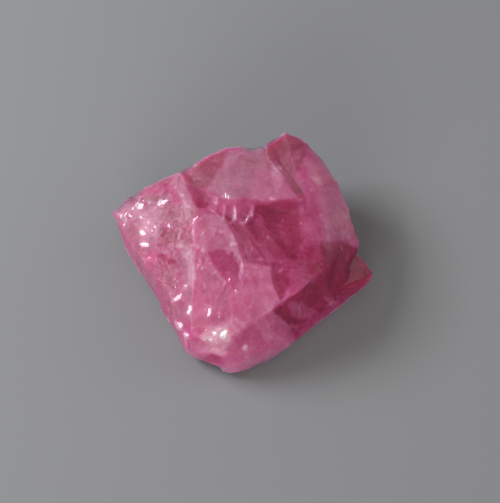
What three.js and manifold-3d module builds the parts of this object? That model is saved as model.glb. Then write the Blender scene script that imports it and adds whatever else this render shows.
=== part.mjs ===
// A broken piece of rubellite, the pink to red gem tourmaline: one solid stone lying on its flattest side.
// Millimetres, +Z up. The origin is under the middle of the stone, on the surface that it lies on.
//
// The top broke in long blades that run from the back edge to the front edge and overlap like tiles.
// Each break line below is the crest or the groove of a blade, and facets are laid between neighbours.
// Steep walls drop from the top by a waist to a low rim, and the stone draws in from there to its foot.
// A knob, a ledge and a toe are joined to it, and shell-shaped hollows of the break are cut from it.

import * as THREE from 'three';
import { ConvexGeometry } from 'three/addons/geometries/ConvexGeometry.js';
import { mergeVertices } from 'three/addons/utils/BufferGeometryUtils.js';
import Module from 'manifold-3d';

const wasm = await Module();
wasm.setup();

// The break lines of the top, from the west tip to the east side, each from the back to the front edge.
const westTip = [[-9.4, 3.8, 2.3]];
const breakLines = {
  tipFold: [[-8.3, 4.4, 3.2], [-8.0, 3.1, 3.3], [-8.8, 3.1, 2.1]],
  plateauOuterFold: [[-6.8, 4.9, 4.0], [-6.9, 2.9, 4.1], [-7.3, 1.7, 3.5], [-7.8, 1.2, 2.6]],
  plateauMiddleFold: [[-5.6, 5.1, 4.7], [-5.5, 2.8, 4.8], [-5.9, 0.8, 4.1], [-6.9, -0.5, 3.0]],
  plateauInnerFold: [
    [-4.9, 5.2, 5.1], [-4.5, 2.9, 5.3], [-4.5, 0.5, 4.8], [-4.9, -1.1, 4.2], [-6.0, -1.9, 3.2],
  ],
  footOfCrest: [
    [-4.7, 5.3, 5.2], [-3.9, 2.3, 5.6], [-4.0, 0.0, 5.1], [-4.1, -2.1, 4.4], [-5.0, -3.2, 3.4],
  ],
  mainCrest: [
    [-4.3, 5.4, 5.4], [-3.4, 2.8, 5.8], [-2.8, 1.7, 5.9], [-3.2, 0.4, 5.8], [-3.2, -0.7, 5.5],
    [-3.3, -3.9, 5.1], [-3.4, -5.7, 4.3], [-4.2, -5.0, 3.5],
  ],
  wedgeEdge: [
    [-3.9, 5.7, 5.4], [-2.9, 3.2, 5.65], [-2.4, 1.8, 5.8], [-2.6, 0.3, 5.7], [-2.5, -1.0, 5.6],
    [-1.8, -2.7, 5.5], [-0.7, -4.9, 5.4], [-0.5, -6.0, 5.0], [-3.4, -6.8, 3.4],
  ],
  darkGroove: [
    [-3.1, 6.1, 5.6], [-2.4, 3.6, 5.8], [-2.1, 1.9, 5.85], [-2.3, 0.0, 5.7], [-1.3, -1.1, 5.6],
    [-0.6, -1.9, 5.6], [0.0, -2.5, 5.6], [-0.3, -4.4, 5.6], [-0.1, -6.0, 4.9], [-0.9, -7.2, 3.7],
  ],
  bladeCrest: [
    [-0.9, 7.1, 5.8], [-1.5, 3.1, 6.0], [-1.8, 1.7, 6.0], [-1.2, 0.9, 6.0], [-0.7, 0.1, 5.95],
    [-0.3, -0.9, 5.85], [0.0, -1.8, 5.8], [0.2, -2.7, 5.75], [0.3, -4.6, 5.6], [0.6, -6.0, 4.9],
    [0.3, -6.7, 4.3],
  ],
  bladeGroove: [
    [-0.4, 7.1, 5.8], [-0.9, 3.0, 6.1], [-1.2, 1.9, 6.0], [-0.7, 1.1, 5.8], [-0.3, 0.3, 5.8],
    [0.1, -0.9, 5.7], [0.6, -2.5, 5.7], [1.4, -4.3, 5.6], [1.4, -5.9, 4.7],
  ],
  thirdCrest: [
    [0.3, 7.1, 5.8], [-0.1, 2.7, 6.2], [-0.1, 1.6, 6.0], [0.2, 0.5, 5.9], [0.8, -0.9, 5.85],
    [1.7, -2.2, 5.85], [2.4, -4.3, 5.6], [2.1, -5.5, 5.0],
  ],
  thirdGroove: [
    [0.8, 7.1, 5.8], [0.6, 2.7, 6.1], [0.5, 1.6, 5.8], [0.7, 0.6, 5.7], [1.3, -0.7, 5.7],
    [2.1, -2.0, 5.7], [2.7, -4.1, 5.5], [2.7, -5.0, 5.3],
  ],
  fourthCrest: [
    [1.2, 7.2, 5.8], [1.5, 2.6, 6.2], [1.3, 1.8, 5.8], [1.6, 0.7, 5.8], [2.4, -0.8, 5.9],
    [3.4, -2.2, 5.8], [4.1, -3.5, 5.6], [3.7, -4.4, 5.5],
  ],
  fourthGroove: [
    [1.6, 7.3, 5.8], [2.4, 2.6, 6.2], [2.1, 2.0, 5.7], [2.1, 0.9, 5.6], [2.9, -0.7, 5.7],
    [3.8, -2.1, 5.7], [4.4, -3.3, 5.5], [4.6, -3.6, 5.4],
  ],
  knobCrest: [
    [1.8, 7.5, 5.9], [1.9, 5.9, 6.1], [2.9, 4.4, 6.3], [3.9, 2.7, 6.2], [3.4, 1.8, 5.7],
    [3.6, 0.2, 5.7], [4.3, -1.4, 5.7], [5.0, -3.0, 5.3],
  ],
  knobGroove: [
    [2.3, 7.8, 5.9], [2.6, 6.0, 6.0], [3.6, 4.4, 6.0], [4.5, 2.8, 5.95], [4.5, 1.5, 5.85],
    [4.7, -0.4, 5.8], [5.1, -2.1, 5.6], [5.3, -2.8, 5.2],
  ],
  shoulderFold: [
    [3.1, 8.2, 6.0], [3.5, 5.9, 6.2], [4.5, 3.8, 6.1], [5.1, 1.8, 5.95], [5.4, -0.7, 5.85],
    [5.6, -1.9, 5.6], [5.7, -2.5, 5.0],
  ],
  shoulderCrest: [[4.4, 7.7, 5.8], [5.0, 5.6, 6.0], [5.8, 2.9, 5.8], [6.0, -0.2, 5.6], [6.5, -1.2, 4.7]],
  shoulderEdge: [[5.8, 6.3, 5.4], [6.5, 3.9, 5.3], [6.8, 1.2, 5.0], [7.2, -0.1, 4.2]],
  eastEdge: [[6.8, 4.6, 5.0], [7.6, 3.0, 4.5], [7.8, 1.3, 4.0], [8.1, 0.7, 3.3]],
};

// Rings round the stone, from the west tip round by the back: the waist of the walls, the low rim where the
// walls end, and the foot that the stone lies on.
const waist = [
  [-9.1, 3.8, 1.8], [-6.8, 5.1, 2.9], [-4.1, 5.8, 3.3], [-1.4, 6.9, 3.2], [1.4, 7.2, 3.5], [3.6, 7.9, 3.7],
  [5.8, 6.4, 3.4], [7.0, 4.8, 3.2], [7.8, 3.0, 2.9], [8.1, 1.0, 2.7], [7.4, -1.9, 2.6], [6.0, -3.2, 2.6],
  [4.5, -4.3, 2.6], [3.2, -5.4, 2.6], [1.7, -6.4, 2.6], [0.5, -7.0, 2.7], [-0.8, -7.4, 2.6],
  [-2.4, -7.2, 2.4], [-3.8, -6.4, 2.2], [-4.8, -4.3, 2.2], [-6.7, -0.9, 2.0], [-8.2, 1.7, 1.7],
];
const lowRim = [
  [-8.9, 3.7, 1.3], [-6.6, 4.9, 1.4], [-4.0, 5.6, 1.8], [-1.4, 6.7, 1.4], [1.4, 6.9, 1.5], [3.6, 7.6, 1.6],
  [5.6, 6.2, 1.7], [6.8, 4.6, 1.5], [7.7, 2.8, 1.4], [8.0, 0.8, 1.2], [7.7, -2.1, 0.6], [6.4, -3.3, 0.7],
  [4.9, -4.7, 1.1], [3.4, -6.0, 1.1], [1.9, -6.9, 0.9], [0.6, -7.4, 0.9], [-0.7, -7.7, 0.9],
  [-2.4, -7.2, 0.9], [-3.8, -6.7, 0.7], [-4.9, -4.5, 1.1], [-6.8, -0.9, 0.7], [-8.3, 1.7, 1.1],
];
const foot = [
  [-7.6, 3.4, 0], [-5.6, 4.4, 0], [-3.6, 4.9, 0], [-1.2, 6.0, 0], [1.3, 6.2, 0], [3.2, 6.7, 0],
  [4.9, 5.5, 0], [6.1, 4.2, 0], [7.0, 2.5, 0], [7.2, 0.8, 0], [6.9, -2.0, 0], [5.7, -3.1, 0],
  [4.6, -4.4, 0], [3.0, -5.4, 0], [1.7, -6.6, 0], [0.5, -7.2, 0], [-0.8, -7.5, 0],
  [-2.2, -7.0, 0], [-3.5, -6.5, 0], [-4.6, -4.2, 0], [-5.9, -0.8, 0], [-7.3, 1.8, 0],
];

// Corners of the knob and the ledge at the east tip and of the toe at the south, their tops first.
const eastKnob = [
  [6.8, 1.6, 4.6], [6.9, -0.4, 4.4], [8.3, 0.9, 3.3], [7.4, -0.8, 3.5],
  [8.2, 0.5, 2.8], [7.9, 1.8, 2.7], [7.4, -0.8, 2.4],
];
const eastLedge = [
  [6.6, -0.6, 3.3], [7.9, 0.4, 2.8], [8.7, -0.3, 2.3], [9.4, -0.9, 1.8], [9.1, -1.3, 1.4],
  [7.9, -2.1, 2.0], [6.0, -2.9, 2.9],
  [7.6, 1.0, 0.9], [8.4, 0.3, 1.0], [9.0, -1.0, 1.1], [7.8, -2.0, 0.6], [5.4, -3.3, 0.7],
];
const southToe = [
  [-3.4, -6.5, 2.7], [-2.4, -7.4, 2.5], [-1.0, -7.9, 2.3], [0.6, -7.6, 2.3], [1.8, -7.0, 2.3],
  [3.3, -5.9, 2.2], [3.3, -5.5, 2.8], [2.2, -5.4, 4.6], [1.2, -6.2, 4.1], [-0.9, -7.1, 3.4],
  [-3.6, -6.9, 0.7], [-2.6, -7.3, 0.6], [-1.4, -7.9, 0.4], [-0.5, -8.2, 0.6], [0.6, -7.7, 0.5],
  [1.9, -7.0, 0.5], [3.4, -6.1, 1.1], [3.9, -5.4, 1.0],
];

// Shell-shaped hollows of the break: the point that each is struck from, the way it faces, the radius of its
// rim and its depth.
const hollows = {
  backWall: { at: [-0.8, 6.9, 1.4], facing: [-0.3, 1.0, 0.0], rim: 2.4, depth: 0.5 },
  westBackWall: { at: [-5.8, 5.3, 1.2], facing: [-0.3, 1.0, 0.1], rim: 1.7, depth: 0.3 },
  eastBackWall: { at: [6.8, 5.2, 1.8], facing: [0.8, 0.6, -0.1], rim: 2.2, depth: 0.45 },
};
const pastRim = 1.3;
const stepsRoundHollow = 24;
const stepsAcrossHollow = 4;

// Facets

function distance(a, b) {
  return Math.hypot(a[0] - b[0], a[1] - b[1], a[2] - b[2]);
}

// Facets between two lines of corners that run the same way. Each step takes the shorter way across.
function strip(near, far) {
  const facets = [];
  let i = 0;
  let j = 0;
  while (i < near.length - 1 || j < far.length - 1) {
    const acrossNear = i < near.length - 1 ? distance(near[i + 1], far[j]) : Infinity;
    const acrossFar = j < far.length - 1 ? distance(near[i], far[j + 1]) : Infinity;
    if (acrossNear < acrossFar) {
      facets.push([near[i], near[i + 1], far[j]]);
      i += 1;
    } else {
      facets.push([near[i], far[j + 1], far[j]]);
      j += 1;
    }
  }
  return facets;
}

function closed(line) {
  return [...line, line[0]];
}

// Solids

// Corners closer together than this are one corner.
const sameCorner = 1e-4;

function toSolid(geometry) {
  const shell = geometry.clone();
  shell.deleteAttribute('normal');
  shell.deleteAttribute('uv');
  const merged = mergeVertices(shell, sameCorner);
  return new wasm.Manifold(new wasm.Mesh({
    numProp: 3,
    vertProperties: new Float32Array(merged.attributes.position.array),
    triVerts: new Uint32Array(merged.index.array),
  }));
}

function solidOfFacets(facets) {
  const geometry = new THREE.BufferGeometry();
  geometry.setAttribute('position', new THREE.Float32BufferAttribute(facets.flat(2), 3));
  return toSolid(geometry);
}

// A block of stone: the hull of its corners.
function block(corners) {
  return toSolid(new ConvexGeometry(corners.map((corner) => new THREE.Vector3(...corner))));
}

function body() {
  const lines = [westTip, ...Object.values(breakLines)];
  const top = lines.slice(1).flatMap((line, k) => strip(lines[k], line));
  const backEdge = lines.slice(0, -1).map((line) => line[0]);
  const frontEdge = lines.slice(1, -1).map((line) => line.at(-1)).reverse();
  const topRim = [...backEdge, ...lines.at(-1), ...frontEdge];
  const walls = [...strip(closed(topRim), closed(waist)), ...strip(closed(waist), closed(lowRim))];
  const underside = strip(closed(lowRim), closed(foot));
  const sole = foot.slice(1, -1).map((corner, k) => [foot[0], corner, foot[k + 2]]);
  return solidOfFacets([...top, ...walls, ...underside, ...sole]);
}

// A cutter with a shallow dish for a lower end. The dish is an arc turned about the way the hollow faces, and
// is carried on past the hollow's rim so that its edge stands clear of the stone.
function dish({ at, facing, rim, depth }) {
  const radius = (rim ** 2 + depth ** 2) / (2 * depth);
  const widest = Math.min(pastRim * rim / radius, 1);
  const profile = [];
  for (let step = 0; step <= stepsAcrossHollow; step += 1) {
    const angle = Math.asin(widest) * step / stepsAcrossHollow;
    profile.push(new THREE.Vector2(radius * Math.sin(angle), radius * (1 - Math.cos(angle)) - depth));
  }
  profile.push(new THREE.Vector2(0, profile.at(-1).y + 2 * rim));
  const geometry = new THREE.LatheGeometry(profile, stepsRoundHollow);
  const outward = new THREE.Vector3(...facing).normalize();
  geometry.applyQuaternion(new THREE.Quaternion().setFromUnitVectors(new THREE.Vector3(0, 1, 0), outward));
  geometry.translate(...at);
  return toSolid(geometry);
}

const joined = [eastKnob, eastLedge, southToe].map(block).reduce((solid, next) => solid.add(next), body());
const stone = Object.values(hollows).reduce((solid, hollow) => solid.subtract(dish(hollow)), joined);

function toGeometry(solid) {
  const { vertProperties, triVerts } = solid.getMesh();
  const geometry = new THREE.BufferGeometry();
  geometry.setAttribute('position', new THREE.BufferAttribute(new Float32Array(vertProperties), 3));
  geometry.setIndex(new THREE.BufferAttribute(new Uint32Array(triVerts), 1));
  geometry.computeVertexNormals();
  return geometry;
}

const rubellite = new THREE.MeshStandardMaterial({
  color: 0xb04872, roughness: 0.25, metalness: 0, flatShading: true,
});
const crystal = new THREE.Mesh(toGeometry(stone), rubellite);
crystal.name = 'rubellite_crystal';

const group = new THREE.Group();
group.add(crystal);
export default group;
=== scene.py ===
"""A broken piece of rubellite, pink gem tourmaline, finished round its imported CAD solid.

The stone's skin is worked out with numpy on a grid of bearing by fall, from the slices of the CAD solid. It
then carries the relief of the break: ribbed flake scars, crushed grains, scallops, chips and nibbled crests.
Lengths are in millimetres until a mesh is written, where they become metres.
"""

import math

import bpy
import numpy as np
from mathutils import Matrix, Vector


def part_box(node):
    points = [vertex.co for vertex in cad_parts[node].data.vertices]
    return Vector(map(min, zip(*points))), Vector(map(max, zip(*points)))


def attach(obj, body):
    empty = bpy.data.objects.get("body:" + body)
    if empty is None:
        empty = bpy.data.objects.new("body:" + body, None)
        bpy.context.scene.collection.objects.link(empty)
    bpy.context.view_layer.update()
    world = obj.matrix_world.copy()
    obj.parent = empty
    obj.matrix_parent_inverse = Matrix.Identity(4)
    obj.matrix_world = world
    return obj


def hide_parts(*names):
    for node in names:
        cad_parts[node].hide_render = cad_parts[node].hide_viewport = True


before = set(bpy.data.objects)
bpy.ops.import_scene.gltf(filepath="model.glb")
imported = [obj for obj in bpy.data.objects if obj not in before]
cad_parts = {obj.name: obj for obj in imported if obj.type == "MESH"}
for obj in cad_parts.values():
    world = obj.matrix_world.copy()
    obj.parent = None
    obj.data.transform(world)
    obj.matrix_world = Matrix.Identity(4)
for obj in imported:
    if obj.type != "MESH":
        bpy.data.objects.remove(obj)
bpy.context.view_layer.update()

MM = 0.001
TINY = 1e-12     # stands in for a zero that is divided by

# The CAD stone

stone_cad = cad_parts["rubellite_crystal"]
BOX_LOW, BOX_HIGH = (np.array(corner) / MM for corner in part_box("rubellite_crystal"))
HEIGHT = (BOX_HIGH - BOX_LOW)[2]


def cad_triangles(node):
    """The node's triangles as an array of triangle by corner by xyz."""
    mesh = node.data
    mesh.calc_loop_triangles()
    places = np.empty(len(mesh.vertices) * 3)
    mesh.vertices.foreach_get("co", places)
    corners = np.empty(len(mesh.loop_triangles) * 3, np.int64)
    mesh.loop_triangles.foreach_get("vertices", corners)
    return (places.reshape(-1, 3) / MM)[corners.reshape(-1, 3)]


# The skin: a closed grid of bearing by fall

BEARINGS = 500
FALLS = 198
FINE_FALLS = 640       # of a slice's first sampling, before its falls are spread evenly
FIRST_BEARING = 0.37   # in steps of bearing
DENSE_SIDE = math.radians(215)     # the bearings lie closest together here, where the detail is finest
DENSITY = 0.28         # how much closer they lie there, as a share of the mean step
HEART = np.array([0.3, 0.2, 2.3])     # the middle of the fan of rays, deep inside the stone
OUTER_REACH = 1.13     # how far out the rays' outer ends lie, as a share of the stone's own reach
OUTER_RISE = 0.8       # how far up and down they lie, as a share of the stone's height
CORE_REACH = 0.66      # how far out the rays' inner ends lie, as a share of the outer ends' reach
CORE_DEPTH = 0.10      # how far up and down they lie, as a share of the outer ends' rise
CURVE_POWER = 0.72     # below 1 squares off the outer curve's shoulder
EDGE_SLACK = 1e-6      # how far past an edge's end a ray still meets it, as a share of the edge
SMOOTHED_BEARINGS = 9
SOLE_HEIGHT = 0.3      # below this the rows are spread wider, because little of the sole is seen
SOLE_SHARE = 0.35      # how much a step on the sole counts


def fan(fall, reach):
    """Inner and outer ends of the rays of a fan, for fall 0 straight up to 1 straight down.

    The outer ends run along a squared-off half ellipse that encloses the stone, and the inner ends along the
    same curve drawn in towards a flat core, so that the rays never cross and meet the stone's top steeply.
    """
    angle = np.pi * fall
    out = np.abs(np.sin(angle)) ** CURVE_POWER * reach * OUTER_REACH
    up = np.sign(np.cos(angle)) * np.abs(np.cos(angle)) ** CURVE_POWER * HEIGHT * OUTER_RISE
    inner = np.stack([out * CORE_REACH, up * CORE_DEPTH], axis=-1)
    return inner, np.stack([out, up], axis=-1)


def cross(a, b):
    """The cross product of flat vectors."""
    return a[..., 0] * b[..., 1] - a[..., 1] * b[..., 0]


def slice_of(triangles, bearing):
    """The outline of the solid in the half-plane at a bearing, as segments of (out, up)."""
    way = np.array([math.cos(bearing), math.sin(bearing)])
    out = triangles[..., 0] * way[0] + triangles[..., 1] * way[1]
    across = triangles[..., 1] * way[0] - triangles[..., 0] * way[1]
    ahead = across > 0
    cut = (ahead.any(axis=1) & ~ahead.all(axis=1)) & (out.max(axis=1) > 0)
    out, across, ahead, up = out[cut], across[cut], ahead[cut], triangles[cut, :, 2]
    # the corner that is alone on its side of the half-plane, and the two others
    lone = np.where(ahead.sum(axis=1) == 1, ahead.argmax(axis=1), (~ahead).argmax(axis=1))
    row = np.arange(len(lone))
    ends = []
    for other in ((lone + 1) % 3, (lone + 2) % 3):
        share = across[row, lone] / (across[row, lone] - across[row, other])
        ends.append(np.stack([
            out[row, lone] + share * (out[row, other] - out[row, lone]),
            up[row, lone] + share * (up[row, other] - up[row, lone]),
        ], axis=-1))
    return ends[0], ends[1]


def rolling_mean(values):
    """The mean of each bearing's value with its neighbours' on both sides."""
    half = SMOOTHED_BEARINGS // 2
    return np.mean([np.roll(values, shift, axis=0) for shift in range(-half, half + 1)], axis=0)


def farthest_hits(outline, inner, outer):
    """Where each ray of the fan leaves the slice's outline for the last time, as (out, up)."""
    start, end = outline
    way = (outer - inner)[:, None, :]
    side = (end - start)[None, :, :]
    gap = start[None, :, :] - inner[:, None, :]
    turn = cross(way, side)
    turn = np.where(np.abs(turn) < TINY, TINY, turn)
    along = cross(gap, side) / turn
    place = cross(gap, way) / turn
    met = (place > -EDGE_SLACK) & (place < 1 + EDGE_SLACK) & (along > 0)
    along = np.where(met, along, -1)
    reach = along.max(axis=1)
    known = reach > 0
    reach = np.interp(np.arange(len(reach)), np.flatnonzero(known), reach[known])
    return inner + reach[:, None] * (outer - inner)


def lay_skin(triangles):
    """The skin as an array of bearing by fall by xyz.

    At each bearing the falls are spread so that the grid's rows are about as far apart on the stone
    everywhere but on the sole. The spread is averaged over neighbouring bearings to keep the rows smooth.
    """
    centred = triangles - HEART
    turn = 2 * np.pi * (np.arange(BEARINGS) + FIRST_BEARING) / BEARINGS
    bearings = turn - DENSITY * np.sin(turn - DENSE_SIDE)
    outlines = [slice_of(centred, bearing) for bearing in bearings]
    reach = rolling_mean(np.array([max(start[:, 0].max(), end[:, 0].max()) for start, end in outlines]))
    fine = (np.arange(FINE_FALLS) + 0.5) / FINE_FALLS
    hits = np.stack([farthest_hits(outline, *fan(fine, far)) for outline, far in zip(outlines, reach)])
    steps = np.linalg.norm(np.diff(hits, axis=1), axis=2)
    steps *= np.where(hits[:, 1:, 1] + HEART[2] < SOLE_HEIGHT, SOLE_SHARE, 1)
    run = np.concatenate([np.zeros((BEARINGS, 1)), np.cumsum(steps, axis=1)], axis=1)
    run = rolling_mean(run / run[:, -1:])
    wanted = (np.arange(FALLS) + 0.5) / FALLS
    skin = np.empty((BEARINGS, FALLS, 3))
    for index, (bearing, outline, far) in enumerate(zip(bearings, outlines, reach)):
        out, up = farthest_hits(outline, *fan(np.interp(wanted, run[index], fine), far)).T
        skin[index] = np.stack([out * math.cos(bearing), out * math.sin(bearing), up], axis=-1)
    return skin + HEART


def facing(skin):
    """Unit normals of the skin, from the differences between neighbouring grid points."""
    along = np.roll(skin, -1, axis=0) - np.roll(skin, 1, axis=0)
    down = np.empty_like(skin)
    down[:, 1:-1] = skin[:, 2:] - skin[:, :-2]
    down[:, 0] = skin[:, 1] - skin[:, 0]
    down[:, -1] = skin[:, -1] - skin[:, -2]
    normal = np.cross(down, along)
    return normal / np.maximum(np.linalg.norm(normal, axis=2, keepdims=True), TINY)


def spread_out(value, times):
    """A grid value averaged with its neighbours, that many times over."""
    for _ in range(times):
        beside = (np.roll(value, 1, axis=0) + np.roll(value, -1, axis=0)) / 2
        inner = np.concatenate([value[:, :1], value[:, :-1]], axis=1)
        outer = np.concatenate([value[:, 1:], value[:, -1:]], axis=1)
        value = (value + beside + (inner + outer) / 2) / 3
    return value


def standing_out(skin, normal, times):
    """How far each point stands out of its averaged surroundings: above 0 on crests, below 0 in grooves."""
    return ((skin - spread_out(skin, times)) * normal).sum(axis=-1)


# Formulas of the relief

NOISE_VALUES = 4096     # a power of two
NOISE_PRIMES = (73856093, 19349663, 83492791)


def smooth_step(value, low, high):
    """0 up to `low` and 1 from `high` on, with an S-shaped rise between them."""
    share = np.clip((value - low) / (high - low), 0, 1)
    return share * share * (3 - 2 * share)


def lattice_noise(places, size, seed):
    """Smooth noise from -1 to 1 with bumps about `size` apart: random values on a cubic lattice, blended."""
    table = np.random.default_rng(seed).uniform(-1, 1, NOISE_VALUES)
    cell = np.floor(places / size).astype(np.int64)
    part = places / size - cell
    part = part * part * (3 - 2 * part)
    total = np.zeros(places.shape[:-1])
    for corner in np.ndindex(2, 2, 2):
        x, y, z = (cell[..., axis] + corner[axis] for axis in range(3))
        weight = np.prod([part[..., a] if corner[a] else 1 - part[..., a] for a in range(3)], axis=0)
        row = x * NOISE_PRIMES[0] ^ y * NOISE_PRIMES[1] ^ z * NOISE_PRIMES[2]
        total += weight * table[row & (NOISE_VALUES - 1)]
    return total


def layered_noise(places, size, seed, layers=4):
    """Noise with finer layers added, each half the size and half the strength of the one before."""
    return sum(lattice_noise(places, size / 2 ** n, seed + n) / 2 ** n for n in range(layers)) / 2


def strayed(places, skin, kind, far, size, seeds):
    """Places shifted by up to about `far`, by noise of a kind and size, with a seed for each axis."""
    return places + far * np.stack([kind(skin, size, seed) for seed in seeds], axis=-1)


CELL_MARGIN = 2     # spare cells all round the stone's box
SEED_SPREAD = (0.1, 0.9)     # where in its cell a seed may lie


def cell_counts(size):
    """How many cells of a size there are on each axis, over the stone's box and the margin."""
    return np.ceil((BOX_HIGH - BOX_LOW) / size).astype(int) + 2 * CELL_MARGIN


def neighbour_seeds(places, size, seed):
    """For each of the 27 cells round a point: the offset from its seed, and its row in a table."""
    random = np.random.default_rng(seed)
    spots = cell_counts(size)
    jitter = random.uniform(*SEED_SPREAD, (*spots, 3))
    home = np.floor((places - BOX_LOW) / size).astype(int) + CELL_MARGIN
    for step in np.ndindex(3, 3, 3):
        cell = np.clip(home + np.array(step) - 1, 0, spots - 1)
        key = tuple(np.moveaxis(cell, -1, 0))
        at = BOX_LOW + (cell - CELL_MARGIN + jitter[key]) * size
        yield places - at, np.ravel_multi_index(key, tuple(spots))


def table_of(size, seed, spread):
    """A random xyz with a normal spread for each cell of neighbour_seeds."""
    return np.random.default_rng(seed).normal(0, spread, (int(np.prod(cell_counts(size))), 3))


SLOPE_SEEDS = 1000     # added to a seed for the tables of slopes
STRIKE_SEEDS = 2000    # added to a seed for the tables of strikes
STRIKE_SPREAD = 0.6    # of the points that flakes were struck from, as a share of the scar's size
RIB_SPACING = 0.22     # of the rings on a flake scar, as a share of the scar's size


def flake_scars(places, size, depth, tilt, rib, seed):
    """Flake scars: at each point the lowest of many shallow bowls, each tilted its own way and ribbed.

    height = the least, over the seeds, of distance squared / (2 x radius) + slope . offset. Neighbouring
    bowls meet in sharp crests, as the flake scars of a brittle stone do. On each bowl runs a wave of height
    `rib`, in rings round the point that the flake was struck from.
    """
    slopes = table_of(size, seed + SLOPE_SEEDS, tilt)
    strikes = table_of(size, seed + STRIKE_SEEDS, STRIKE_SPREAD * size)
    radius = (size / 2) ** 2 / (2 * depth)
    best = np.full(places.shape[:-1], np.inf)
    ring = np.zeros(places.shape[:-1])
    for offset, row in neighbour_seeds(places, size, seed):
        height = (offset ** 2).sum(axis=-1) / (2 * radius) + (offset * slopes[row]).sum(axis=-1)
        lower = height < best
        best = np.where(lower, height, best)
        ring = np.where(lower, np.linalg.norm(offset - strikes[row], axis=-1), ring)
    return best - np.median(best) + rib * np.cos(2 * np.pi * ring / (RIB_SPACING * size))


def grains(places, size, tilt, joint, seed):
    """Crushed grains: small flat faces, each tilted its own way, with joints of width `joint` between them.

    height = the average over the seeds of slope . offset, weighted by exp(-distance / joint).
    """
    slopes = table_of(size, seed + SLOPE_SEEDS, tilt)
    nearest = np.full(places.shape[:-1], np.inf)
    for offset, _ in neighbour_seeds(places, size, seed):
        nearest = np.minimum(nearest, np.linalg.norm(offset, axis=-1))
    total, weights = 0, 0
    for offset, row in neighbour_seeds(places, size, seed):
        weight = np.exp(-(np.linalg.norm(offset, axis=-1) - nearest) / joint)
        total = total + weight * (offset * slopes[row]).sum(axis=-1)
        weights = weights + weight
    return total / weights


# The front sight plane, square to a line of sight from the front and above. The facets' outlines, the
# scallops and the chips are laid on it: `across` is x, and `rise` is the height up the plane.

ELEVATION = math.radians(60)
TO_VIEWER = np.array([0, -math.cos(ELEVATION), math.sin(ELEVATION)])
UP_THE_PLANE = np.array([0, math.sin(ELEVATION), math.cos(ELEVATION)])


def sight(places):
    """Places as (across, rise) on the front sight plane."""
    return np.stack([places[..., 0], places @ UP_THE_PLANE], axis=-1)


def in_oval(seen, middle, half_across, half_up, turn):
    """Points of the sight plane in an oval's own terms: across it and up it, in half widths and heights."""
    angle = math.radians(turn)
    across, rise = seen[..., 0] - middle[0], seen[..., 1] - middle[1]
    beside = (across * math.cos(angle) - rise * math.sin(angle)) / half_across
    upward = (rise * math.cos(angle) + across * math.sin(angle)) / half_up
    return beside, upward


def inside(seen, outline):
    """How far inside an outline each point of the sight plane is, in mm, and negative outside.

    The distance is to the nearest edge. Its sign is from how often a line to the left crosses the outline.
    """
    x, y = seen[..., 0], seen[..., 1]
    nearest = np.full(x.shape, np.inf)
    within = np.zeros(x.shape, bool)
    for (x0, y0), (x1, y1) in zip(outline, outline[1:] + outline[:1]):
        share = ((x - x0) * (x1 - x0) + (y - y0) * (y1 - y0)) / ((x1 - x0) ** 2 + (y1 - y0) ** 2)
        share = np.clip(share, 0, 1)
        nearest = np.minimum(nearest, np.hypot(x - x0 - share * (x1 - x0), y - y0 - share * (y1 - y0)))
        if y0 != y1:
            crosses = (y0 > y) != (y1 > y)
            within ^= crosses & (x > x0 + (y - y0) * (x1 - x0) / (y1 - y0))
    return np.where(within, nearest, -nearest)


# Where the window lamp is, in metres, and the way a chip faces to glint from it towards the front

WINDOW = np.array([-0.144, 0.048, 0.120])
GLINT_WAY = WINDOW / np.linalg.norm(WINDOW) + TO_VIEWER
GLINT_WAY /= np.linalg.norm(GLINT_WAY)

# Glinting chips. The bright ones: (across, rise) on the sight plane, half width, half height and turn in
# degrees. A chip with a turn above 0 leans to the right.

BRIGHT_CHIPS = [
    # the crushed west end
    ((-8.6, 4.2), 0.22, 0.26, 0), ((-8.3, 4.2), 0.18, 0.34, 20), ((-8.2, 3.9), 0.10, 0.22, 10),
    ((-8.4, 3.6), 0.09, 0.20, 20), ((-7.4, 5.0), 0.16, 0.30, 35), ((-7.1, 4.9), 0.20, 0.32, 50),
    ((-6.9, 5.2), 0.08, 0.16, 40), ((-5.7, 5.1), 0.14, 0.26, 40), ((-5.4, 5.2), 0.12, 0.34, 55),
    ((-6.9, 3.0), 0.28, 0.17, 30), ((-6.8, 2.2), 0.30, 0.22, 15), ((-6.5, 1.2), 0.08, 0.24, 65),
    ((-5.1, 3.6), 0.07, 0.42, -15),
    # the fold beside the main crest, and over the scallops
    ((-3.2, 3.9), 0.09, 0.40, 38), ((-1.1, 5.6), 0.08, 0.22, 0), ((-0.9, 5.5), 0.06, 0.18, -10),
    ((0.4, 4.0), 0.06, 0.30, 30),
    # down the west edge to the toe
    ((-4.6, -0.2), 0.06, 0.18, -10), ((-4.5, -0.7), 0.08, 0.20, -10), ((-4.4, -1.5), 0.14, 0.44, 40),
    ((-3.5, -2.3), 0.12, 0.42, 5), ((-2.4, -2.1), 0.07, 0.20, 5), ((-2.2, -2.4), 0.13, 0.40, 5),
    ((-4.3, -3.4), 0.17, 0.42, -30), ((-3.8, -4.1), 0.18, 0.28, 0), ((-1.8, -3.9), 0.14, 0.22, -10),
    ((-1.2, -3.9), 0.30, 0.36, 0), ((-2.1, -4.3), 0.10, 0.20, 0), ((-0.8, -0.2), 0.10, 0.18, 40),
    # faint ones on the blades
    ((-0.4, -0.9), 0.05, 0.09, 30), ((-1.5, -2.7), 0.05, 0.14, 20), ((-2.7, 0.6), 0.05, 0.12, -10),
]

# The small ones lie in drifts: middle, half across, half up and turn of an oval, how many, and about how far
# each chip faces away from the glint way

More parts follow.
